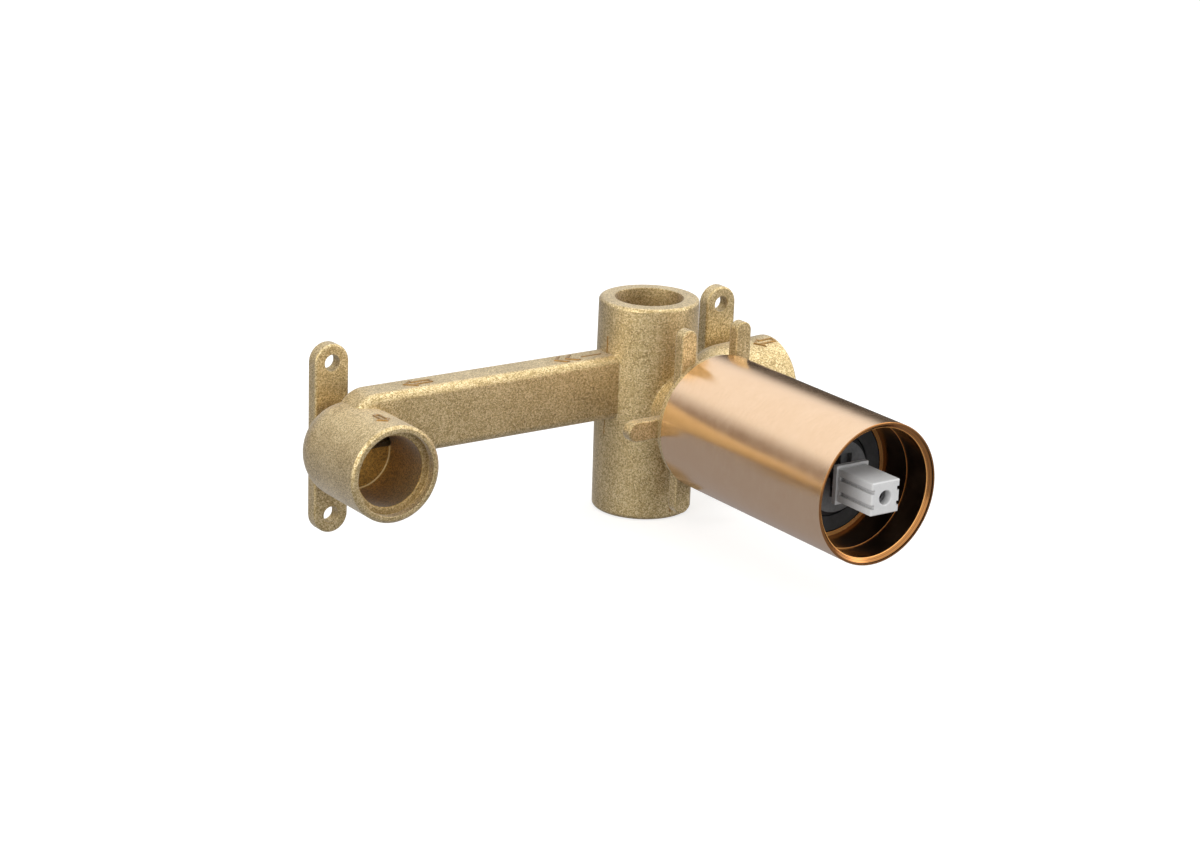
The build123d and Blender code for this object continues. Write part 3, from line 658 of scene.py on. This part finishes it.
class VALVE_OT_stage(bpy.types.Operator):
    """Set up the camera, the pale floor, the glowing cards that paint reflections in the metal and
    the soft lamps
    """
    bl_idname = "valve.stage"
    bl_label = "Stage"

    def execute(self, context):
        settings = context.scene.valve_stage
        self.place_camera(context, settings)
        self.lay_floor(context, settings)
        self.lay_card(context, settings)
        self.stand_screen(context, settings)
        self.light(context, settings)
        context.scene.view_settings.view_transform = "Standard"
        return {"FINISHED"}

    def place_camera(self, context, settings):
        """Put the camera where the photograph was taken."""
        azimuth, elevation, roll = CAMERA_AZIMUTH, CAMERA_ELEVATION, CAMERA_ROLL
        back = Vector((math.sin(azimuth) * math.cos(elevation),
                       -math.cos(azimuth) * math.cos(elevation), math.sin(elevation)))
        level = Vector((math.cos(azimuth), math.sin(azimuth), 0))
        upright = back.cross(level)
        right = math.cos(roll) * level + math.sin(roll) * upright
        up = math.cos(roll) * upright - math.sin(roll) * level
        turn = Matrix((right, up, back)).transposed().to_4x4()
        data = bpy.data.cameras.new("photo_camera")
        data.sensor_width = SENSOR_WIDTH_MM
        data.lens = settings.focal_length
        data.clip_start = NEAREST_VIEW
        camera = bpy.data.objects.new("photo_camera", data)
        camera.matrix_world = Matrix.Translation(CAMERA_PLACE) @ turn
        context.scene.collection.objects.link(camera)
        context.scene.camera = camera

    def lay_floor(self, context, settings):
        """Lay a floor that is white to the eye and to mirrors, and grey paper to matte light."""
        finish = Finish("floor_paper")
        glow = finish.math("MULTIPLY", finish.seen_white(), settings.floor_glow)
        finish.set(
            base_color=(*settings.floor, 1), roughness=0.9, specular_ior_level=0.0,
            emission_color=(1, 1, 1, 1), emission_strength=glow)
        floor = self.flat_square("floor", FLOOR_HALF_SIDE, LOWEST_Z - FLOOR_GAP)
        floor.data.materials.append(finish.material)
        context.scene.collection.objects.link(floor)

    def lay_card(self, context, settings):
        """Lay a glowing grey card on the floor that only shows in reflections, a painted reflection
        that is darker behind the valve on the right, where it paints shade.
        """
        finish = Finish("glowing_reflection_card")
        parts = finish.axes()
        away = finish.math("ADD", parts["X"], parts["Y"])
        shade = finish.between(away, *CARD_SHADE, 1.0, settings.shade)
        finish.set(emission_color=finish.mix(shade, (0, 0, 0), settings.card))
        card = self.flat_square("glowing_reflection_card", CARD_HALF_SIDE, LOWEST_Z - CARD_GAP)
        self.show_in_reflections(context, card, finish)

    def stand_screen(self, context, settings):
        """Stand a low curved glowing screen behind the valve that only shows in reflections, a
        painted reflection. It is white at its upper edge and darker on the right, where it paints
        shade."""
        shape = bmesh.new()
        ends = [shape.verts.new((*SCREEN_START, LOWEST_Z + lift))
                for lift in (0, settings.screen_height)]
        rim = shape.edges.new(ends)
        bmesh.ops.spin(shape, geom=[*ends, rim], cent=(0, 0, 0), axis=(0, 0, 1),
                       angle=SCREEN_ANGLE, steps=SCREEN_STEPS)
        finish = Finish("glowing_reflection_screen")
        parts = finish.axes()
        shade = finish.between(parts["X"], *SCREEN_SHADE, 1.0, settings.shade)
        rise = finish.between(
            parts["Z"], *(settings.screen_height * share for share in SCREEN_RISE))
        grey = finish.mix(shade, (0, 0, 0), settings.screen)
        finish.set(emission_color=finish.mix(rise, grey, (1, 1, 1)))
        screen = bpy.data.objects.new("glowing_reflection_screen", finished_mesh(shape, "glowing_reflection_screen"))
        self.show_in_reflections(context, screen, finish)

    def flat_square(self, name, half_side, height):
        """A level square round the origin."""
        shape = bmesh.new()
        bmesh.ops.create_grid(shape, x_segments=1, y_segments=1, size=half_side)
        bmesh.ops.translate(shape, verts=shape.verts, vec=(0, 0, height))
        return bpy.data.objects.new(name, finished_mesh(shape, name))

    def show_in_reflections(self, context, card, finish):
        """Make a card glow with its finish, and hide it from all but glossy rays."""
        finish.set(base_color=(0, 0, 0, 1), roughness=1.0, specular_ior_level=0.0,
                   emission_strength=1.0)
        card.data.materials.append(finish.material)
        for ray in ("camera", "diffuse", "transmission", "volume_scatter", "shadow"):
            setattr(card, "visible_" + ray, False)
        context.scene.collection.objects.link(card)

    def light(self, context, settings):
        """Light the room, white to the eye and softer for matte surfaces, and hang the lamps."""
        world = bpy.data.worlds.new("studio")
        world.use_nodes = True
        nodes = Nodes(world.node_tree)
        room = world.node_tree.nodes["Background"]
        nodes.feed(room.inputs["Strength"], nodes.between(
            nodes.seen_white(), 0.0, 1.0, settings.room_light, 1.0))
        nodes.feed(room.inputs["Color"], (1, 1, 1, 1))
        context.scene.world = world
        self.hang_lamp(context, "key_lamp", KEY_PLACE, KEY_SIZE, settings.key_power)
        self.hang_lamp(context, "fill_lamp", FILL_PLACE, FILL_SIZE, settings.fill_power)
        self.hang_lamp(context, "side_lamp", SIDE_PLACE, SIDE_SIZE, settings.side_power)

    def hang_lamp(self, context, name, place, size, power):
        """Hang a square lamp that shines at the valve."""
        data = bpy.data.lights.new(name, "AREA")
        data.shape = "SQUARE"
        data.size = size
        data.energy = power
        lamp = bpy.data.objects.new(name, data)
        lamp.location = place
        aim = Vector(LAMP_AIM) - Vector(place)
        lamp.rotation_euler = aim.to_track_quat("-Z", "Y").to_euler()
        context.scene.collection.objects.link(lamp)


class VALVE_OT_casting(bpy.types.Operator):
    """Give the casting its sandy brass skin"""
    bl_idname = "valve.casting"
    bl_label = "Casting"

    def execute(self, context):
        dress(cast_brass(context.scene.valve_casting), "valve_body")
        return {"FINISHED"}


class VALVE_OT_marks(bpy.types.Operator):
    """Raise the flow marks and the mould fins on the casting"""
    bl_idname = "valve.marks"
    bl_label = "Cast Marks"

    def execute(self, context):
        settings = context.scene.valve_marks
        # The marks' brass is darker than the skin: painted shade on their sides.
        brass = cast_brass(context.scene.valve_casting, "mark_brass_painted_shade", settings.painted_shade_tint)
        for name, (shape, line, place) in self.marks(settings).items():
            raise_outline(shape, settings.height, line)
            wrap(shape, place)
            seat_piece(shape, name, brass)
        for name, (size, middle) in self.fins(settings.fin_width).items():
            seat_piece(mould_fin(size, middle), name, brass)
        return {"FINISHED"}

    def marks(self, settings):
        """The outline of each mark, the width of its line (0 for a solid mark) and its surface."""
        return {
            "arm_arrow": (arrow_outline(*ARM_ARROW_SIZE), settings.line,
                          self.on_arm(*ARM_ARROW_MIDDLE)),
            "arm_chevron_left": (chevron_outline(*CHEVRON_SIZE), 0,
                                 self.on_arm(*CHEVRON_LEFT_MIDDLE)),
            "arm_chevron_right": (chevron_outline(*CHEVRON_SIZE), 0,
                                  self.on_arm(*CHEVRON_RIGHT_MIDDLE)),
            "spout_arrow": (arrow_outline(*SPOUT_ARROW_SIZE), settings.line, self.on_spout),
            "port_arrow": (arrow_outline(*PORT_ARROW_SIZE), settings.line, self.on_port),
        }

    def fins(self, thick):
        """The size and the middle of each mould fin."""
        tube_side = TUBE_X - TUBE_RADIUS
        tube_front = WATERWAY_Y - TUBE_RADIUS
        return {
            "fin_arm_top": ((6.5 * MM, thick, thick), (-25 * MM, MOULD_LINE_Y, ARM_TOP)),
            "fin_tube_above": ((thick, thick, 4.8 * MM), (tube_side, MOULD_LINE_Y, 18 * MM)),
            "fin_tube_below": ((thick, thick, 5.2 * MM), (tube_side, MOULD_LINE_Y, -4.4 * MM)),
            "fin_tube_front": ((thick, thick, 8 * MM), (TUBE_X, tube_front, -23.6 * MM)),
        }

    @staticmethod
    def on_arm(middle_x, middle_y):
        """The flat top of the arm. A mark there points to the left."""
        return lambda along, across, height: Vector(
            (middle_x - along, middle_y + across, ARM_TOP + height))

    @staticmethod
    def on_spout(along, across, height):
        """The round spout socket. A mark there points to the front."""
        angle = across / SPOUT_RADIUS
        reach = SPOUT_RADIUS + height
        return Vector((SPOUT_X + reach * math.sin(angle), SPOUT_ARROW_Y - along,
                       reach * math.cos(angle)))

    @staticmethod
    def on_port(along, across, height):
        """The flared neck of the right hand socket. A mark there points to the left."""
        x = PORT_ARROW_X - along
        angle = PORT_ARROW_ANGLE + across / PORT_NECK_RADIUS
        reach = PORT_NECK_RADIUS + PORT_FLARE * (x - PORT_NECK_X) + height
        return Vector((x, WATERWAY_Y - reach * math.cos(angle), reach * math.sin(angle)))


class VALVE_OT_sleeve(bpy.types.Operator):
    """Give the cover sleeve its satin copper"""
    bl_idname = "valve.sleeve"
    bl_label = "Sleeve"

    def execute(self, context):
        dress(brushed_copper(context.scene.valve_sleeve), "cover_sleeve")
        return {"FINISHED"}


class VALVE_OT_cartridge(bpy.types.Operator):
    """Give the parts of the cartridge their plastics and metals"""
    bl_idname = "valve.cartridge"
    bl_label = "Cartridge"

    def execute(self, context):
        settings = context.scene.valve_cartridge
        dress(moulded_plastic("nut_plastic", settings.nut, shine=0.5, texture=0.5 * MM,
                              contrast=1.8), "cartridge_nut")
        dress(moulded_plastic("guide_plastic", settings.guide, shine=0.45, texture=0.7 * MM,
                              contrast=2.0), "turning_guide")
        dress(moulded_plastic("stem_plastic", settings.stem, shine=0.42, texture=0.5 * MM,
                              contrast=0.35), "stem_adapter")
        dress(moulded_plastic("slip_plastic", settings.slip_ring, shine=0.4), "nut_slip_ring")
        dress(moulded_plastic("shell_plastic", settings.shell, shine=0.45),
              "cartridge_body", "cartridge_base", "disc_carrier")
        dress(disc_ceramic(settings.ceramic), "fixed_disc", "moving_disc")
        dress(milled_metal("pin_steel", settings.steel, pitch=0.4 * MM), "lever_pin")
        dress(milled_metal("lever_zinc", settings.zinc, pitch=0.6 * MM), "lever")
        return {"FINISHED"}


class VALVE_OT_seals(bpy.types.Operator):
    """Give the seals their rubber"""
    bl_idname = "valve.seals"
    bl_label = "Seals"

    def execute(self, context):
        dress(seal_rubber(context.scene.valve_cartridge.rubber),
              "sleeve_seal_front", "sleeve_seal_rear", "hot_inlet_seal", "cold_inlet_seal",
              "outlet_seal", "disc_gasket")
        return {"FINISHED"}


class VALVE_PT_panel(bpy.types.Panel):
    """Lists the steps that dress the valve"""
    bl_idname = "VALVE_PT_panel"
    bl_label = "Concealed Valve"
    bl_space_type = "VIEW_3D"
    bl_region_type = "UI"
    bl_category = "Valve"

    def draw(self, context):
        for step in STEPS:
            self.layout.operator(step.bl_idname)
        for group in SETTINGS:
            settings = getattr(context.scene, group)
            for key in settings.bl_rna.properties.keys():
                if key not in ("rna_type", "name"):
                    self.layout.prop(settings, key)


STEPS = (VALVE_OT_stage, VALVE_OT_casting, VALVE_OT_marks, VALVE_OT_sleeve, VALVE_OT_cartridge,
         VALVE_OT_seals)
SETTINGS = {
    "valve_casting": ValveCastingSettings,
    "valve_marks": ValveMarkSettings,
    "valve_sleeve": ValveSleeveSettings,
    "valve_cartridge": ValveCartridgeSettings,
    "valve_stage": ValveStageSettings,
}


def register():
    for group, settings in SETTINGS.items():
        bpy.utils.register_class(settings)
        setattr(bpy.types.Scene, group, bpy.props.PointerProperty(type=settings))
    for item in (*STEPS, VALVE_PT_panel):
        bpy.utils.register_class(item)


def unregister():
    for item in (VALVE_PT_panel, *reversed(STEPS)):
        bpy.utils.unregister_class(item)
    for group, settings in SETTINGS.items():
        delattr(bpy.types.Scene, group)
        bpy.utils.unregister_class(settings)


def main():
    register()
    bpy.ops.valve.stage()
    bpy.ops.valve.casting()
    bpy.ops.valve.marks()
    bpy.ops.valve.sleeve()
    bpy.ops.valve.cartridge()
    bpy.ops.valve.seals()


if __name__ == "__main__":
    main()
